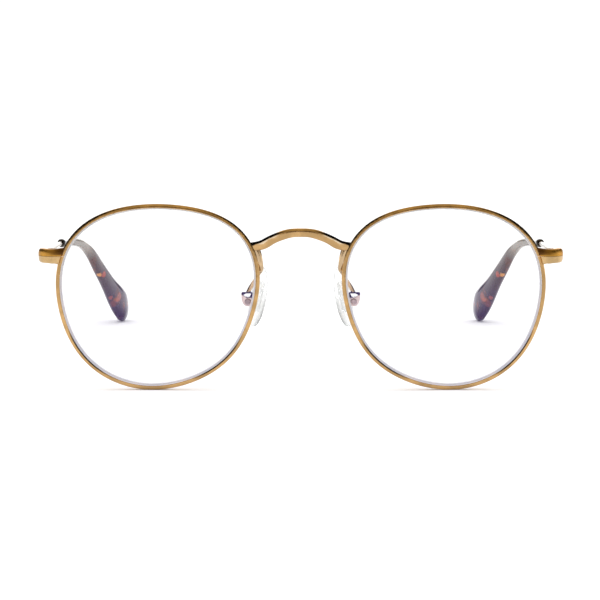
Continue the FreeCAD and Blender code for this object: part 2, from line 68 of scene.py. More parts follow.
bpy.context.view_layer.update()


# ---------------------------------------------------------------- shader helper
class Tree:
    """The node tree of a new material or world, with short ways to add nodes."""

    def __init__(self, name, world=False):
        self.owner = (bpy.data.worlds if world else bpy.data.materials).new(name)
        self.owner.use_nodes = True
        self.tree = self.owner.node_tree
        self.tree.nodes.clear()
        self.out = self.add("OutputWorld" if world else "OutputMaterial")

    def set(self, node, key, value):
        """Link or set one input, found by name or index."""
        socket = node.inputs[key]
        if isinstance(value, bpy.types.Node):
            value = value.outputs[0]
        if isinstance(value, bpy.types.NodeSocket):
            self.tree.links.new(value, socket)
        elif isinstance(value, tuple) and socket.type == "RGBA":
            socket.default_value = value + (1.0,)
        else:
            socket.default_value = value

    def add(self, kind, **inputs):
        """New node; underscores in the input names stand for spaces."""
        node = self.tree.nodes.new("ShaderNode" + kind)
        for key, value in inputs.items():
            self.set(node, key.replace("_", " "), value)
        return node

    def fill(self, node, *values):
        for index, value in enumerate(values):
            self.set(node, index, value)
        return node

    def math(self, operation, *values, clamp=False):
        node = self.add("Math")
        node.operation = operation
        node.use_clamp = clamp
        return self.fill(node, *values).outputs[0]

    def times(self, first, second):
        return self.math("MULTIPLY", first, second)

    def vmath(self, operation, *values):
        node = self.add("VectorMath")
        node.operation = operation
        self.fill(node, *values)
        return node.outputs["Value" if operation in ("DOT_PRODUCT", "LENGTH") else 0]

    def scale(self, vector, factor):
        node = self.add("VectorMath")
        node.operation = "SCALE"
        self.set(node, 0, vector)
        self.set(node, 3, factor)
        return node.outputs[0]

    def mix(self, amount, first, second):
        """Blend two colours."""
        node = self.add("Mix")
        node.data_type = "RGBA"
        self.set(node, 0, amount)
        self.set(node, 6, first)
        self.set(node, 7, second)
        return node.outputs[2]

    def blend(self, amount, first, second):
        """Blend two numbers."""
        node = self.add("Mix")
        node.data_type = "FLOAT"
        self.set(node, 0, amount)
        self.set(node, 2, first)
        self.set(node, 3, second)
        return node.outputs[0]

    def ease(self, value, low, high, out=(0.0, 1.0)):
        """Smooth step from out[0] at low to out[1] at high."""
        node = self.add("MapRange")
        node.interpolation_type = "SMOOTHSTEP"
        return self.fill(node, value, low, high, *out).outputs[0]

    def fade(self, value, low, high):
        return self.ease(value, low, high, out=(1.0, 0.0))

    def band(self, value, rise, fall):
        """One between the two (low, high) ranges, zero beyond them."""
        return self.times(self.ease(value, *rise), self.fade(value, *fall))

    def noise(self, vector, scale, detail=3.0, rough=0.55, distort=0.0):
        return self.add("TexNoise", Vector=vector, Scale=scale, Detail=detail,
                        Roughness=rough, Distortion=distort).outputs[0]

    def bump(self, height, strength, distance):
        return self.add("Bump", Strength=strength, Distance=distance, Height=height)

    def shade(self, first, second, amount):
        """Blend two shaders."""
        return self.fill(self.add("MixShader"), amount, first, second)

    def position(self):
        return self.add("TexCoord").outputs["Object"]

    def facing(self):
        """One where the face is seen square on, from either side; zero edge on."""
        geometry = self.add("NewGeometry")
        return self.math("ABSOLUTE", self.vmath(
            "DOT_PRODUCT", geometry.outputs["Normal"], geometry.outputs["Incoming"]))

    def finish(self, surface):
        self.set(self.out, "Surface", surface)
        return self.owner


# ---------------------------------------------------------------- painted shade and reflections on the gilt
# They paint dark reflections, a highlight and shade into the colour. Each takes the tree,
# the colour so far, the position, its distance from the middle plane, its depth (y) and
# height (z). It returns the new colour and the mask of the painted mark, or None.
EYE_MID = (0.0359, 0.0240)      # middle of an eye: distance sideways and height, m
WAVES = range(1, 7)             # harmonics that describe the ring's edge


def front_edge(node):
    """Inner edge of the ring's front: its distance from the eye's middle and its
    depth, each as Fourier coefficients (constant, cos 1, sin 1, cos 2, ...)."""
    vertices = nodes[node].data.vertices
    points = np.array([vertex.co[:] for vertex in vertices])
    normals = np.array([vertex.normal[:] for vertex in vertices])
    across, up = np.abs(points[:, 0]) - EYE_MID[0], points[:, 2] - EYE_MID[1]
    turn, radius = np.arctan2(up, across), np.hypot(across, up)
    depth = points[:, 1]
    front = normals[:, 1] < -0.5
    rows, targets = [], []
    for i in range(360):
        angle = -math.pi + 2 * math.pi * (i + 0.5) / 360
        near = np.where(front & (np.abs(turn - angle) < math.pi / 240))[0]
        if len(near) == 0:
            continue
        near = near[depth[near] < depth[near].min() + 0.0006]
        j = near[np.argmin(radius[near])]
        rows.append([1.0] + [wave(k * turn[j]) for k in WAVES
                             for wave in (math.cos, math.sin)])
        targets.append((radius[j], depth[j]))
    rows, targets = np.array(rows), np.array(targets)
    fit = np.linalg.lstsq(rows, targets, rcond=None)[0]
    # fit again without the points that stray from the first curve
    keep = np.abs((rows @ fit - targets)[:, 0]) < 0.00012
    fit = np.linalg.lstsq(rows[keep], targets[keep], rcond=None)[0]
    return fit.T.tolist()


def painted_groove_reflection(mat, color, pos, side, depth, height):
    """Painted dark reflection: a brown line along the inner edge of the ring's front, on
    both lower quarters.
    """
    radius_fit, depth_fit = front_edge("rim_left")
    across = mat.math("SUBTRACT", side, EYE_MID[0])
    up = mat.math("SUBTRACT", height, EYE_MID[1])
    turn = mat.math("ARCTAN2", up, across)
    inset = mat.math("SQRT", mat.math("MULTIPLY_ADD", across, across, mat.times(up, up)))
    inset = mat.math("SUBTRACT", inset, radius_fit[0])
    depth = mat.math("SUBTRACT", depth, depth_fit[0])
    for k in WAVES:
        for function, j in (("COSINE", 2 * k - 1), ("SINE", 2 * k)):
            wave = mat.math(function, mat.times(turn, float(k)))
            inset = mat.math("MULTIPLY_ADD", wave, -radius_fit[j], inset)
            depth = mat.math("MULTIPLY_ADD", wave, -depth_fit[j], depth)
    # angles below the horizontal, towards the nose and towards the temple
    down = mat.times(up, -1.0)
    nasal = mat.math("ARCTAN2", down, mat.times(across, -1.0))
    nasal = mat.band(nasal, arc(24, 38), arc(57, 72))
    outer = mat.math("ARCTAN2", down, across)
    outer = mat.band(outer, arc(16, 27), arc(46, 60))
    # mask of the painted dark reflection line
    line = mat.times(mat.math("MAXIMUM", nasal, outer),
                     mat.fade(inset, 0.00032, 0.00044))
    line = mat.times(line, mat.fade(depth, 0.00015, 0.00030))
    return mat.mix(mat.times(line, 0.96), color, (0.020, 0.008, 0.004)), line


def painted_bridge_reflections(mat, color, pos, side, depth, height):
    """Painted reflections on the bridge's ends: painted black on their upper faces for a
    dark reflection, with a pale painted highlight strip along its foot."""
    normal = mat.add("SeparateXYZ", Vector=mat.add("NewGeometry").outputs["Normal"])
    ragged = mat.noise(pos, scale=700.0, detail=2.0, rough=0.5)
    lift = mat.math("ADD", normal.outputs[2],
                    mat.ease(ragged, 0.3, 0.7, out=(-0.03, 0.03)))
    # the painted black reaches further down the outermost part
    lift = mat.math("ADD", lift, mat.ease(side, 0.0108, 0.0124, out=(0.0, 0.22)))
    ends = mat.ease(side, 0.0052, 0.0066)
    # painted highlight: a pale strip along the foot
    bridge_highlight_strip = mat.times(mat.band(lift, (0.01, 0.07), (0.17, 0.24)), ends)
    bridge_highlight_strip = mat.times(bridge_highlight_strip, mat.fade(side, 0.0104, 0.0114))
    color = mat.mix(mat.times(bridge_highlight_strip, 0.75), color, (0.95, 0.79, 0.58))
    # painted dark reflection on the upper faces of the ends
    bridge_dark_reflection = mat.times(ends, mat.ease(lift, 0.20, 0.32))
    return mat.mix(bridge_dark_reflection, color, (0.004, 0.002, 0.002)), bridge_dark_reflection


def painted_corner_shade(mat, color, pos, side, depth, height):
    """Painted shade: browner, darker colour in the inner top corner of the endpiece."""
    # mask of the painted shade in the corner
    corner = mat.times(mat.fade(side, 0.0615, 0.0668), mat.ease(height, 0.0346, 0.0352))
    return mat.mix(mat.times(corner, 0.90), color, (0.060, 0.017, 0.003)), None


def painted_window_reflection(mat, color, pos, side, depth, height):
    """Painted dark reflection: violet-black over the upper part of the pad box."""
    ragged = mat.noise(pos, scale=1500.0, detail=2.0, rough=0.5)
    lift = mat.math("ADD", height, mat.ease(ragged, 0.3, 0.7, out=(-0.00012, 0.00012)))
    # the lower edge of the painted dark reflection climbs outwards
    climb = mat.times(0.60, mat.math("MAXIMUM", 0.0,
                                     mat.math("SUBTRACT", side, 0.0139)))
    lift = mat.math("SUBTRACT", lift, climb)
    # mask of the painted dark reflection
    finish = mat.ease(lift, 0.02295, 0.02335)
    return mat.mix(finish, color, (0.020, 0.010, 0.055)), finish


# ---------------------------------------------------------------- materials
def gilt(name, tint, rough, coat, pale=0.0, painted_mark=None):
    """Electroplated gold under clear lacquer: drawn-wire grain, faint patches of
    thinner plating, fine dust pits."""
    mat = Tree(name)
    pos = mat.position()
    fine = mat.noise(pos, scale=5200.0, detail=2.0, rough=0.6)
    broad = mat.noise(pos, scale=260.0, detail=3.0, rough=0.5)
    pits = mat.noise(pos, scale=2600.0, detail=4.0, rough=0.72)
    light = tuple(min(1.0, channel * 1.07 + 0.012) for channel in tint)
    color = mat.mix(mat.ease(broad, 0.38, 0.64), scaled(tint, 0.80), light)
    color = mat.mix(mat.ease(pits, 0.70, 0.86, out=(0.0, 0.5)), color,
                    scaled(tint, 0.55))
    if pale:
        color = mat.mix(pale, color, (0.83, 0.80, 0.74))
    painted_mask = None
    # paint in the given mark of painted reflection and shade, if there is one
    if painted_mark:
        axes = mat.add("SeparateXYZ", Vector=pos).outputs
        side = mat.math("ABSOLUTE", axes[0])
        color, painted_mask = painted_mark(mat, color, pos, side, axes[1], axes[2])
    # roughness varies with the grain, then with the patches
    gloss = mat.blend(mat.ease(fine, 0.3, 0.7), rough * 0.82, rough * 1.25)
    gloss = mat.math("ADD", gloss, mat.ease(broad, 0.42, 0.62, out=(-0.02, 0.03)))
    # the lacquer coat is thinned under the painted mark
    if painted_mask is not None:
        coat = mat.blend(painted_mask, coat, 0.12)
    return mat.finish(mat.add(
        "BsdfPrincipled", Base_Color=color, Metallic=1.0, Roughness=gloss,
        Coat_Weight=coat, Coat_Roughness=0.06, Coat_IOR=1.58,
        Normal=mat.bump(fine, strength=0.10, distance=0.00001)))


def clear_lens(name, centre):
    """Thin organic glass with a violet-blue anti-reflection coat on both faces; the
    ground edge and its bevel are frosted and carry a faint painted glow."""
    mat = Tree(name)
    geometry = mat.add("NewGeometry")
    pos = geometry.outputs["Position"]
    # a face points along the line from the lens's centre, the ground edge doesn't
    radial = mat.vmath("NORMALIZE", mat.vmath("SUBTRACT", pos, centre))
    along = mat.math("ABSOLUTE", mat.vmath(
        "DOT_PRODUCT", geometry.outputs["True Normal"], radial))
    face = mat.ease(along, 0.90, 0.96)
    # Schlick reflectance from 4.2 % square on, a little uneven from smears
    square_on = 0.042
    graze = mat.math("POWER", mat.math("SUBTRACT", 1.0, mat.facing(), clamp=True), 5.0)
    reflect = mat.math("MULTIPLY_ADD", graze, 1.0 - square_on, square_on)
    smear = mat.noise(mat.position(), scale=90.0, detail=2.0, rough=0.5)
    reflect = mat.times(reflect, mat.ease(smear, 0.3, 0.7, out=(0.92, 1.10)))
    # the coat's colour from the lens's bottom to its top
    height = mat.add("SeparateXYZ", Vector=pos).outputs[2]
    tint = mat.mix(mat.ease(height, 0.008, 0.040), (0.50, 0.36, 0.98),
                   (0.26, 0.20, 0.36))
    mirror = mat.add("BsdfGlossy", Color=mat.mix(graze, tint, (0.80, 0.82, 0.95)),
                     Roughness=0.02)
    through = mat.add("BsdfTransparent", Color=(0.994, 0.996, 0.993))
    clear = mat.shade(through, mirror, reflect)
    grit = mat.noise(mat.position(), scale=3000.0, detail=3.0, rough=0.6)
    frost = mat.mix(mat.ease(grit, 0.35, 0.65), (0.74, 0.80, 0.87), (0.86, 0.92, 0.98))
    edge = mat.shade(mat.add("BsdfDiffuse", Color=frost),
                     mat.add("BsdfTranslucent", Color=frost), 0.5)
    # painted light: a faint glow on the frosted edge
    painted_glow = mat.add("Emission", Color=(0.82, 0.88, 1.0), Strength=0.20)
    edge = mat.fill(mat.add("AddShader"), mat.shade(edge, through, 0.30), painted_glow)
    return mat.finish(mat.shade(edge, clear, face))


def clear_soft(name, ior, milk, rough, lip):
    """Clear moulded polymer: soft refraction, satin skin, faint milkiness. milk is
    its range; the last argument sets how dark the painted grey outline gets."""
    mat = Tree(name)
    pos = mat.position()
    skin = mat.noise(pos, scale=2400.0, detail=3.0, rough=0.6)
    cloud = mat.noise(pos, scale=300.0, detail=3.0, rough=0.6)
    glass = mat.add("BsdfGlass", Color=(0.985, 0.988, 0.985), IOR=ior,
                    Roughness=mat.ease(skin, 0.3, 0.7, out=(rough * 0.6, rough * 1.4)),
                    Normal=mat.bump(skin, strength=0.12, distance=0.00003))
    milky = mat.shade(mat.add("BsdfDiffuse", Color=(0.95, 0.95, 0.945)),
                      mat.add("BsdfTranslucent", Color=(0.97, 0.97, 0.965)), 0.6)
    body = mat.shade(glass, milky, mat.ease(cloud, 0.35, 0.7, out=milk))
    # see-through, with a painted grey outline: painted shade, strongest on the lower part
    facing = mat.facing()
    low = mat.ease(mat.add("SeparateXYZ", Vector=pos).outputs[2], 0.0165, 0.0215,
                   out=(1.0, 0.25))
    outline = mat.times(mat.fade(facing, 0.10, 0.60), low)
    clear = mat.add("BsdfTransparent", Color=mat.mix(
        mat.times(outline, lip), (0.985, 0.987, 0.983), (0.16, 0.18, 0.18)))
    body = mat.shade(body, clear, mat.ease(facing, 0.10, 0.55, out=(0.36, 0.80)))
    # casts almost no shadow
    shadow = mat.add("BsdfTransparent", Color=(0.94, 0.94, 0.94))
    return mat.finish(mat.shade(body, shadow,
                                mat.add("LightPath").outputs["Is Shadow Ray"]))


def tortoise(name, flip):
    """Dark tortoise acetate: smoky brown with amber and red flecks that run along
    the hook, polished. flip is -1 to mirror the pattern for the left tip."""
    mat = Tree(name)
    pos = mat.position()
    x, y, z = mat.add("SeparateXYZ", Vector=pos).outputs
    mirrored = mat.fill(mat.add("CombineXYZ"), mat.times(x, flip), y, z).outputs[0]
    # stretched along the drop of the hook
    stretched = mat.add("Mapping", Vector=mirrored, Rotation=(radians(48), 0.0, 0.0),
                        Scale=(1.0, 1.0, 0.42))
    flecks = mat.noise(stretched, scale=190.0, detail=3.0, rough=0.55, distort=0.9)
    mottle = mat.noise(stretched, scale=420.0, detail=3.0, rough=0.6, distort=0.6)
    smoke = mat.noise(stretched, scale=95.0, detail=2.0, rough=0.5, distort=0.4)
    color = mat.mix(mat.ease(smoke, 0.35, 0.65), (0.022, 0.010, 0.016),
                    (0.062, 0.028, 0.030))
    # darker and more violet towards the rounded end: painted shade, and the lens coat's
    # violet reflection painted on
    color = mat.mix(mat.ease(z, 0.004, 0.021, out=(0.8, 0.0)), color,
                    (0.030, 0.008, 0.046))
    # red flecks with amber hearts
    red = mat.mix(mat.ease(mottle, 0.4, 0.7), (0.16, 0.035, 0.016),
                  (0.30, 0.075, 0.022))
    color = mat.mix(mat.ease(flecks, 0.57, 0.68, out=(0.0, 0.85)), color, red)
    amber = mat.times(mat.ease(flecks, 0.655, 0.74), mat.ease(mottle, 0.45, 0.6))
    color = mat.mix(amber, color, (0.62, 0.24, 0.05))
    # paler grey where the sleeve bends down
    milky = mat.band(y, (0.026, 0.034), (0.0405, 0.0475))
    color = mat.mix(mat.times(milky, 0.9), color, (0.34, 0.30, 0.265))
    # the front end is plain and nearly black
    color = mat.mix(mat.fade(y, 0.020, 0.031), color, (0.024, 0.021, 0.019))
    for centre, radius, spot, amount in SPOTS:
        offset = mat.vmath("SUBTRACT", mirrored, place(*centre))
        offset = mat.scale(offset, 1.0 / (radius * MM))
        wobble = mat.times(mat.math("SUBTRACT", mottle, 0.5), 1.6)
        distance = mat.math("ADD", mat.vmath("LENGTH", offset), wobble)
        color = mat.mix(mat.ease(distance, 0.55, 1.1, out=(amount, 0.0)), color, spot)
    # weaker reflection at the very end, where it stands on the table: painted shade
    reflect_above_end = mat.ease(z, 0.0015, 0.0065)
    ripple = mat.noise(pos, scale=700.0, detail=2.0, rough=0.5)
    return mat.finish(mat.add(
        "BsdfPrincipled", Base_Color=color, IOR=1.50,
        Roughness=mat.ease(mottle, 0.3, 0.7, out=(0.10, 0.17)),
        Specular_IOR_Level=mat.blend(reflect_above_end, 0.15, 0.5),
        Coat_Weight=mat.times(reflect_above_end, 0.5), Coat_Roughness=0.05,
        Subsurface_Weight=0.15, Subsurface_Radius=(0.0012, 0.0004, 0.0002),
        Subsurface_Scale=1.0,
        Normal=mat.bump(ripple, strength=0.05, distance=0.00004)))


def screw_metal(name, tint, rough):
    """Screw metal with fine tool marks and darker patches."""
    mat = Tree(name)
    pos = mat.position()
    marks = mat.noise(pos, scale=6500.0, detail=2.0, rough=0.7)
    patches = mat.noise(pos, scale=900.0, detail=3.0, rough=0.6)
    color = mat.mix(mat.ease(patches, 0.35, 0.65), scaled(tint, 0.7), tint)
    return mat.finish(mat.add(
        "BsdfPrincipled", Base_Color=color, Metallic=1.0,
        Roughness=mat.ease(marks, 0.3, 0.7, out=(rough * 0.7, rough * 1.4)),
        Normal=mat.bump(marks, strength=0.2, distance=0.00001)))


# the rim carries a painted dark reflection line inside its lower quarters
RIM = gilt("gilt_rim", tint=(0.590, 0.345, 0.118), rough=0.15, coat=0.7,
           painted_mark=painted_groove_reflection)
# the bridge carries painted black reflections and a painted highlight strip
BRIDGE = gilt("gilt_bridge", tint=(0.590, 0.350, 0.128), rough=0.14, coat=0.7,
              painted_mark=painted_bridge_reflections)
END_LOWER = gilt("gilt_endpiece", tint=(0.60, 0.390, 0.165), rough=0.24, coat=0.6)
# the upper half is a darker, deeper copy of the endpiece gilt: painted shade on the top
# half, with painted shade in its inner corner
END_UPPER = gilt("gilt_endpiece_top", tint=(0.60, 0.300, 0.046), rough=0.40,
                 coat=0.10, painted_mark=painted_corner_shade)
ARM = gilt("gilt_temple", tint=(0.62, 0.41, 0.19), rough=0.15, coat=0.9, pale=0.20)
PAD_ARM = gilt("gilt_padarm", tint=(0.64, 0.42, 0.20), rough=0.12, coat=0.8, pale=0.08)
# the pad box carries a painted dark reflection over its upper part
PAD_BOX = gilt("gilt_padbox", tint=(0.70, 0.55, 0.50), rough=0.09, coat=0.6,
               painted_mark=painted_window_reflection)
HINGE = gilt("gilt_hinge", tint=(0.50, 0.29, 0.09), rough=0.22, coat=0.3)
SCREW = screw_metal("screw_brass", tint=(0.52, 0.34, 0.15), rough=0.20)
PAD_SCREW = screw_metal("screw_pad", tint=(0.60, 0.47, 0.45), rough=0.22)
SILICONE = clear_soft("clear_silicone", ior=1.26, milk=(0.05, 0.12), rough=0.10,
                      lip=0.90)
INSERT = clear_soft("clear_insert", ior=1.32, milk=(0.02, 0.06), rough=0.04, lip=0.2)

# ---------------------------------------------------------------- painting the pieces
# piece on each side, material, slot
PAIRED = [
    ("rim", RIM, "gilt_wire"),
    ("endpiece_upper", END_UPPER, "gilt_wire"),
    ("endpiece_lower", END_LOWER, "gilt_wire"),
    ("temple_arm", ARM, "gilt_wire"),
    ("pad_arm", PAD_ARM, "gilt_wire"),
    ("pad_box", PAD_BOX, "gilt_hinge"),
    ("pad_core", INSERT, "clear_insert"),
    ("hinge_front", HINGE, "gilt_hinge"),
    ("hinge_temple", HINGE, "gilt_hinge"),
    ("hinge_screw", SCREW, "gilt_screw"),
    ("rim_lock_screw", SCREW, "gilt_screw"),
    ("pad_screw", PAD_SCREW, "gilt_screw"),
]
LENS_CENTRE = (35.8, 24.93, 23.4)       # left lens, mm in the frame


def paint(node, material):
    piece = nodes[node]
    piece.data.materials.clear()
    piece.data.materials.append(material)


paint("bridge", BRIDGE)
for side in SIDES:
    x, y, z = LENS_CENTRE
    sign = -1.0 if side == "right" else 1.0
    lens = clear_lens("coated_lens_" + side, (sign * x * MM, y * MM, z * MM))
    # the tip and the pad are replaced by detailed meshes below
    for piece, material, slot in PAIRED + [
            ("lens", lens, "clear_lens"),
            ("temple_tip", SCREW, "tortoise_acetate"),
            ("nose_pad", SILICONE, "clear_silicone")]:
        paint(piece + "_" + side, material)


# ---------------------------------------------------------------- mesh building
def unit(vector):
    return vector / np.linalg.norm(vector)


def spline(knots, values):
    """Natural cubic spline through rows of values; returns value(t, slope=False)."""
    count = len(knots)
    gap = np.diff(knots)
    matrix = np.zeros((count, count))
    right = np.zeros((count, values.shape[1]))
    matrix[0, 0] = matrix[-1, -1] = 1.0
    for i in range(1, count - 1):
        matrix[i, i - 1:i + 2] = gap[i - 1], 2 * (gap[i - 1] + gap[i]), gap[i]
        right[i] = 6 * ((values[i + 1] - values[i]) / gap[i]
                        - (values[i] - values[i - 1]) / gap[i - 1])
    bend = np.linalg.solve(matrix, right)       # second derivatives at the knots

    def value(t, slope=False):
        i = min(max(int(np.searchsorted(knots, t)) - 1, 0), count - 2)
        step = t - knots[i]
        start = ((values[i + 1] - values[i]) / gap[i]
                 - gap[i] * (2 * bend[i] + bend[i + 1]) / 6)
        change = bend[i + 1] - bend[i]
        if slope:
            return start + bend[i] * step + change / (2 * gap[i]) * step ** 2
        return (values[i] + start * step + bend[i] / 2 * step ** 2
                + change / (6 * gap[i]) * step ** 3)

    return value


def turns(count):
    return 2 * math.pi * (np.arange(count) + 0.5) / count


def superellipse(half_width, half_height, power, count):
    """count points evenly spaced along a superellipse."""
    angle = turns(4 * count)
    cos, sin = np.cos(angle), np.sin(angle)
    points = np.stack([half_width * np.sign(cos) * np.abs(cos) ** (2.0 / power),
                       half_height * np.sign(sin) * np.abs(sin) ** (2.0 / power)], 1)
    loop = np.vstack([points, points[:1]])
    steps = np.linalg.norm(np.diff(loop, axis=0), axis=1)
    along = np.concatenate([[0], np.cumsum(steps)])
    even = np.linspace(0, along[-1], count, endpoint=False)
    return np.stack([np.interp(even, along, loop[:, 0]),
                     np.interp(even, along, loop[:, 1])], 1)


class Shape:
    """Collects vertices and faces of a right-hand piece in design millimetres."""

    def __init__(self):
        self.points = []
        self.faces = []

    def ring(self, points):
        start = len(self.points)
        self.points.extend(tuple(point) for point in points)
        return list(range(start, start + len(points)))

    def skin(self, rings):
        for first, second in zip(rings, rings[1:]):
            count = len(first)
            for i in range(count):
                j = (i + 1) % count
                self.faces.append((first[i], first[j], second[j], second[i]))

    def cap(self, ring, flip=False):
        """Close a ring with a fan round its middle."""
        middle = len(self.points)
        self.points.append(tuple(np.mean([self.points[i] for i in ring], axis=0)))
        for here, after in zip(ring, ring[1:] + ring[:1]):
            self.faces.append((here, after, middle) if flip else (after, here, middle))

    def build(self, name, material, body, side):
        """Make the object, mirrored for the left side, and let it ride on body."""
        points = to_frame(self.points)
        faces = self.faces
        if side == "left":
            points = points * np.array([-1.0, 1.0, 1.0])
            faces = [tuple(reversed(face)) for face in faces]
        name += "_" + side
        mesh = bpy.data.meshes.new(name)
        mesh.from_pydata(points.tolist(), [], faces)
        mesh.validate()
        mesh.update()
        piece = bpy.data.objects.new(name, mesh)
        scene.collection.objects.link(piece)
        mesh.materials.append(material)
        for polygon in mesh.polygons:
            polygon.use_smooth = True
        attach(piece, body + "_" + side)
        return piece


class Sweep:
    """Centre line with section sizes, from rows of x, y, z, half width, half height.
    The height of each section leans as near to +Z as it can."""

    def __init__(self, rows):
        rows = np.array(rows)
        steps = np.linalg.norm(np.diff(rows[:, :3], axis=0), axis=1)
        knots = np.concatenate([[0], np.cumsum(steps)])
        self.centre = spline(knots, rows[:, :3])
        self.size = spline(knots, rows[:, 3:])
        self.length = knots[-1]

    def frame(self, t):
        """Centre, tangent, width axis and height axis at t."""
        tangent = unit(self.centre(t, slope=True))
        up = np.array([0.0, 0.0, 1.0])
        high = unit(up - tangent * np.dot(up, tangent))
        return self.centre(t), tangent, np.cross(tangent, high), high

    def circle(self, t, radius, count):
        centre, _, wide, high = self.frame(t)
        return [centre + wide * radius * math.cos(angle) + high * radius * math.sin(angle)
                for angle in turns(count)]

    def section(self, t, power, count, grow=0.0, scale=1.0, shift=0.0):
        centre, tangent, wide, high = self.frame(t)
        half_width, half_height = (self.size(t) + grow) * scale
        outline = superellipse(half_width, half_height, power, count)
        return [centre + wide * x + high * y + tangent * shift for x, y in outline]


# ---------------------------------------------------------------- acetate tips
# centre x, y, z, half width, half height; from the front end to the hook's end
TIP = [
    (-67.20, 84.95, 29.18, 0.96, 1.00), (-67.19, 85.20, 29.16, 1.08, 1.12),
    (-67.17, 86.20, 29.09, 1.15, 1.18), (-67.05, 90.0, 28.80, 1.15, 1.18),
    (-66.35, 97.0, 28.25, 1.15, 1.18), (-65.00, 103.0, 27.60, 1.15, 1.18),
    (-63.35, 108.5, 26.55, 1.16, 1.26), (-62.10, 112.8, 24.90, 1.18, 1.46),
    (-60.75, 116.5, 22.50, 1.26, 1.82), (-59.45, 120.3, 19.30, 1.38, 2.15),
    (-57.55, 125.2, 14.90, 1.54, 2.50), (-55.65, 130.0, 10.50, 1.76, 3.28),
    (-54.12, 133.6, 7.24, 1.94, 4.05), (-53.25, 136.3, 4.98, 1.90, 4.25),
    (-52.90, 138.0, 3.52, 1.70, 3.80), (-52.60, 139.1, 2.57, 1.36, 3.02),
    (-52.40, 139.8, 1.97, 0.90, 2.00), (-52.33, 140.1, 1.72, 0.42, 0.95),
]
# hole round the core wire, from its bottom out to the front lip: depth, radius
TIP_HOLE = [(3.2, 0.640), (1.2, 0.640), (0.30, 0.645), (0.10, 0.68), (0.0, 0.74)]
# stations near the hook's end: distance back from it
TIP_END = [3.6, 3.2, 2.8, 2.4, 2.0, 1.7, 1.4, 1.15, 0.9, 0.7, 0.52, 0.36, 0.22, 0.10, 0.0]
# last rings that close the hook's end: scale, shift beyond it
TIP_CLOSE = [(0.82, 0.05), (0.55, 0.09), (0.25, 0.11)]
TIP_SEGMENTS = 48

# coloured spots: centre in design mm, radius in mm, colour, strength
SPOTS = [
    ((-57.4, 121.9, 16.0), 1.15, (0.42, 0.06, 0.03), 0.95),
    ((-58.6, 120.8, 15.9), 1.00, (0.66, 0.28, 0.07), 1.0),
    ((-60.2, 116.6, 19.9), 1.90, (0.11, 0.035, 0.025), 0.8),
    ((-56.2, 125.2, 16.6), 0.70, (0.26, 0.07, 0.05), 0.7),
    ((-53.3, 130.7, 8.4), 1.30, (0.33, 0.09, 0.06), 0.9),
    ((-53.9, 129.8, 7.4), 0.80, (0.42, 0.10, 0.05), 0.9),
    ((-55.8, 127.7, 8.3), 0.80, (0.32, 0.07, 0.07), 0.85),
    ((-55.0, 129.3, 6.4), 1.30, (0.15, 0.030, 0.035), 0.85),
    ((-51.4, 136.3, 5.5), 0.80, (0.45, 0.16, 0.10), 0.9),
]


def build_tip(side, material):
    sweep = Sweep(TIP)
    length = sweep.length
    shape = Shape()
    loops = [sweep.circle(depth, radius, TIP_SEGMENTS) for depth, radius in TIP_HOLE]
    # rounded front lip
    for t, grow in ((0.0, -0.10), (0.04, -0.03)):
        loops.append(sweep.section(t, 2.1, TIP_SEGMENTS, grow=grow))
    for t in np.concatenate([np.linspace(0.10, 1.3, 7),
                             np.linspace(1.9, length - 4.0, 120),
                             length - np.array(TIP_END)]):
        loops.append(sweep.section(t, 2.25, TIP_SEGMENTS))
    for scale, shift in TIP_CLOSE:
        loops.append(sweep.section(length, 2.1, TIP_SEGMENTS, scale=scale, shift=shift))
    rings = [shape.ring(loop) for loop in loops]
    shape.skin(rings)
    shape.cap(rings[-1])
    return shape.build("acetate_tip", material, "temple", side)


for side in SIDES:
    flip = 1.0 if side == "right" else -1.0
    tip = build_tip(side, tortoise("tortoise_" + side, flip))
    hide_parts("temple_tip_" + side)


# ---------------------------------------------------------------- silicone pads
PAD_CENTRE = np.array([-10.95, 10.60, 23.35])
PAD_LENGTH, PAD_WIDTH, PAD_THICK = 15.6, 7.4, 2.3
PAD_SEGMENTS, PAD_STEPS = 64, 60
# axes: through the pad towards the nose, up its length, across its width
PAD_OUT = unit(np.array([0.87, 0.45, -0.21]))
PAD_UP = unit(np.array([0, 0, 1.0]) - PAD_OUT * PAD_OUT[2])
PAD_ACROSS = np.cross(PAD_OUT, PAD_UP)


def pad_loop(q):
    """Section at q, from -1 at the bottom to 1 at the top."""
    taper = math.sqrt(1 - q * q)
    half_width = PAD_WIDTH / 2 * (1.0 - 0.16 * q) * taper ** 0.92
    half_thick = PAD_THICK / 2 * taper ** 0.80
    centre = (PAD_CENTRE + PAD_UP * q * PAD_LENGTH / 2
              + PAD_ACROSS * (0.35 * q * q - 0.1) - PAD_OUT * 0.25 * q * q)
    loop = []
    for x, y in superellipse(half_width, half_thick, 2.3, PAD_SEGMENTS):
        # thin seam of the mould round the edge, softly domed faces
        seam = 0.05 * math.exp(-((y / 0.13) ** 2)) * min(1.0, taper * 3)
        bulge = 1 - (x / half_width) ** 2
        dome = -0.10 * bulge * taper if y < 0 else 0.06 * bulge
        loop.append(centre + PAD_ACROSS * (x + math.copysign(seam, x))
                    + PAD_OUT * (y + dome))
    return loop


def build_pad(side):
    shape = Shape()
    rings = []
    for i in range(PAD_STEPS + 1):
        q = math.sin((-1 + 2.0 * i / PAD_STEPS) * math.pi / 2)
        # just short of the ends, so that no section shrinks to nothing
        rings.append(shape.ring(pad_loop(max(-0.9995, min(0.9995, q)))))
    shape.skin(rings)
    shape.cap(rings[0], flip=True)
    shape.cap(rings[-1])
    return shape.build("silicone_pad", SILICONE, "pad", side)


for side in SIDES:
    pad = build_pad(side)
    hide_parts("nose_pad_" + side)


# ---------------------------------------------------------------- table
TABLE_HALF = 9.0        # m
TABLE_CELLS = 24


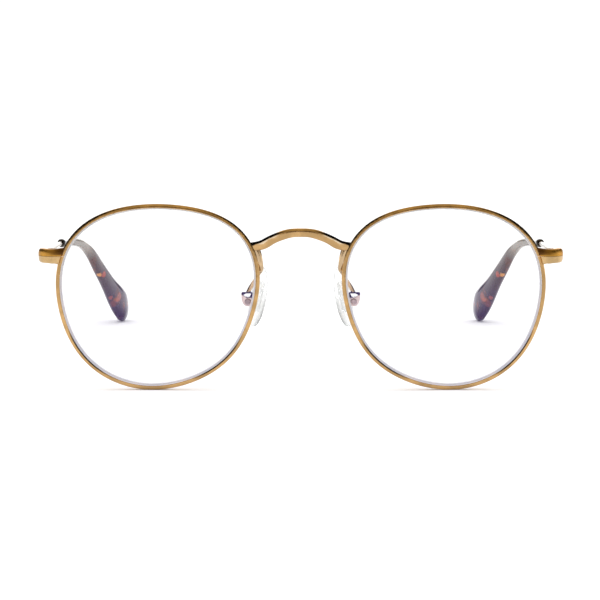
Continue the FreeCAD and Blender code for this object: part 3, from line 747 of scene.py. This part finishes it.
def table_material():
    """White paper, a little brighter to the camera and in reflections."""
    mat = Tree("pale_table")
    speck = mat.noise(mat.position(), scale=60.0, detail=3.0, rough=0.5)
    paper = mat.mix(mat.ease(speck, 0.3, 0.7), (0.90, 0.90, 0.90),
                    (0.915, 0.915, 0.915))
    gain = mat.blend(mat.add("LightPath").outputs["Is Camera Ray"], 1.0, 1.20)
    gain = mat.blend(mat.add("LightPath").outputs["Is Glossy Ray"], gain, 1.06)
    return mat.finish(mat.add("BsdfDiffuse", Color=mat.scale(paper, gain)))


def build_table():
    row = TABLE_CELLS + 1
    line = [-TABLE_HALF + 2 * TABLE_HALF * i / TABLE_CELLS for i in range(row)]
    quads = [(j * row + i, j * row + i + 1, (j + 1) * row + i + 1, (j + 1) * row + i)
             for j in range(TABLE_CELLS) for i in range(TABLE_CELLS)]
    material = table_material()
    mesh = bpy.data.meshes.new("table_top")
    mesh.from_pydata([(x, y, 0.0) for y in line for x in line], [], quads)
    mesh.update()
    mesh.materials.append(material)
    table = bpy.data.objects.new("table_top", mesh)
    scene.collection.objects.link(table)
    table.location = (0, 0, -0.00002)       # just clear of the tips


build_table()


# ---------------------------------------------------------------- world and light
def studio():
    """Plain white light, but polished metal sees a studio: white horizon, bright
    backdrop, dim warm ceiling in front, and two black flags leaning outwards."""
    sky = Tree("studio", world=True)
    direction = sky.add("TexCoord").outputs["Generated"]
    x, y, z = sky.add("SeparateXYZ", Vector=direction).outputs
    side = sky.math("ABSOLUTE", x)
    backdrop = sky.times(sky.ease(y, 0.55, 0.88), sky.fade(z, 0.45, 0.80))
    tone = sky.mix(backdrop, (0.95, 0.95, 0.95), (2.1, 2.1, 2.1))
    # bright wings far left and right, near the horizon
    wing = sky.times(sky.ease(side, 0.84, 0.92),
                     sky.fade(sky.math("ABSOLUTE", z), 0.25, 0.45))
    tone = sky.mix(wing, tone, (1.75, 1.75, 1.75))
    ceiling = sky.times(sky.ease(z, 0.02, 0.30), sky.fade(y, 0.05, 0.42))
    ceiling = sky.times(ceiling, sky.fade(side, 0.50, 0.74))
    tone = sky.mix(ceiling, tone, (0.62, 0.52, 0.29))
    # the flags lie between two angles round the line of sight
    away = sky.vmath("DOT_PRODUCT", direction, (0.0, 0.992, -0.125))
    rise = sky.vmath("DOT_PRODUCT", direction, (0.0, 0.125, 0.992))
    flags = sky.band(sky.math("ARCTAN2", rise, side), arc(5, 13), arc(52, 64))
    flags = sky.times(flags, sky.ease(away, -0.925, -0.875))
    flags = sky.times(flags, sky.fade(away, 0.81, 0.93))
    tone = sky.mix(flags, tone, (0.006, 0.004, 0.003))
    # the dim camera stand, seen where a face looks straight back
    tone = sky.mix(sky.fade(away, -0.984, -0.950), tone, (0.20, 0.15, 0.10))
    color = sky.mix(sky.add("LightPath").outputs["Is Glossy Ray"], (1.0, 1.0, 1.0), tone)
    return sky.finish(sky.add("Background", Color=color, Strength=1.0))


def overhead_light():
    """Soft box above and slightly behind, aimed at the origin."""
    data = bpy.data.lights.new("overhead_box", "AREA")
    data.shape = "RECTANGLE"
    data.size, data.size_y = 1.1, 0.9
    data.energy = 2.6
    light = bpy.data.objects.new("overhead_box", data)
    scene.collection.objects.link(light)
    spot = Vector((0.0, 0.10, 1.10))
    light.location = spot
    light.rotation_mode = "QUATERNION"
    light.rotation_quaternion = (-spot).to_track_quat("-Z", "Y")
    light.visible_glossy = False


scene.world = studio()
overhead_light()

# ---------------------------------------------------------------- camera
CAM_RISE = radians(7.2)
CAM_DISTANCE = 900.0    # mm from the aim point
AIM_HEIGHT = 23.7       # design mm

cam_data = bpy.data.cameras.new("camera")
cam = bpy.data.objects.new("camera", cam_data)
scene.collection.objects.link(cam)
cam.location = place(0.0, -CAM_DISTANCE * math.cos(CAM_RISE),
                     AIM_HEIGHT + CAM_DISTANCE * math.sin(CAM_RISE))
cam.rotation_euler = (radians(90) - CAM_RISE, 0, 0)
cam_data.sensor_width = 36.0
cam_data.lens = 210.276
cam_data.shift_x = -0.00125
cam_data.shift_y = 0.000833333
cam_data.clip_start = 0.01
cam_data.clip_end = 50.0
scene.camera = cam
scene.view_settings.view_transform = "Standard"
scene.view_settings.look = "None"
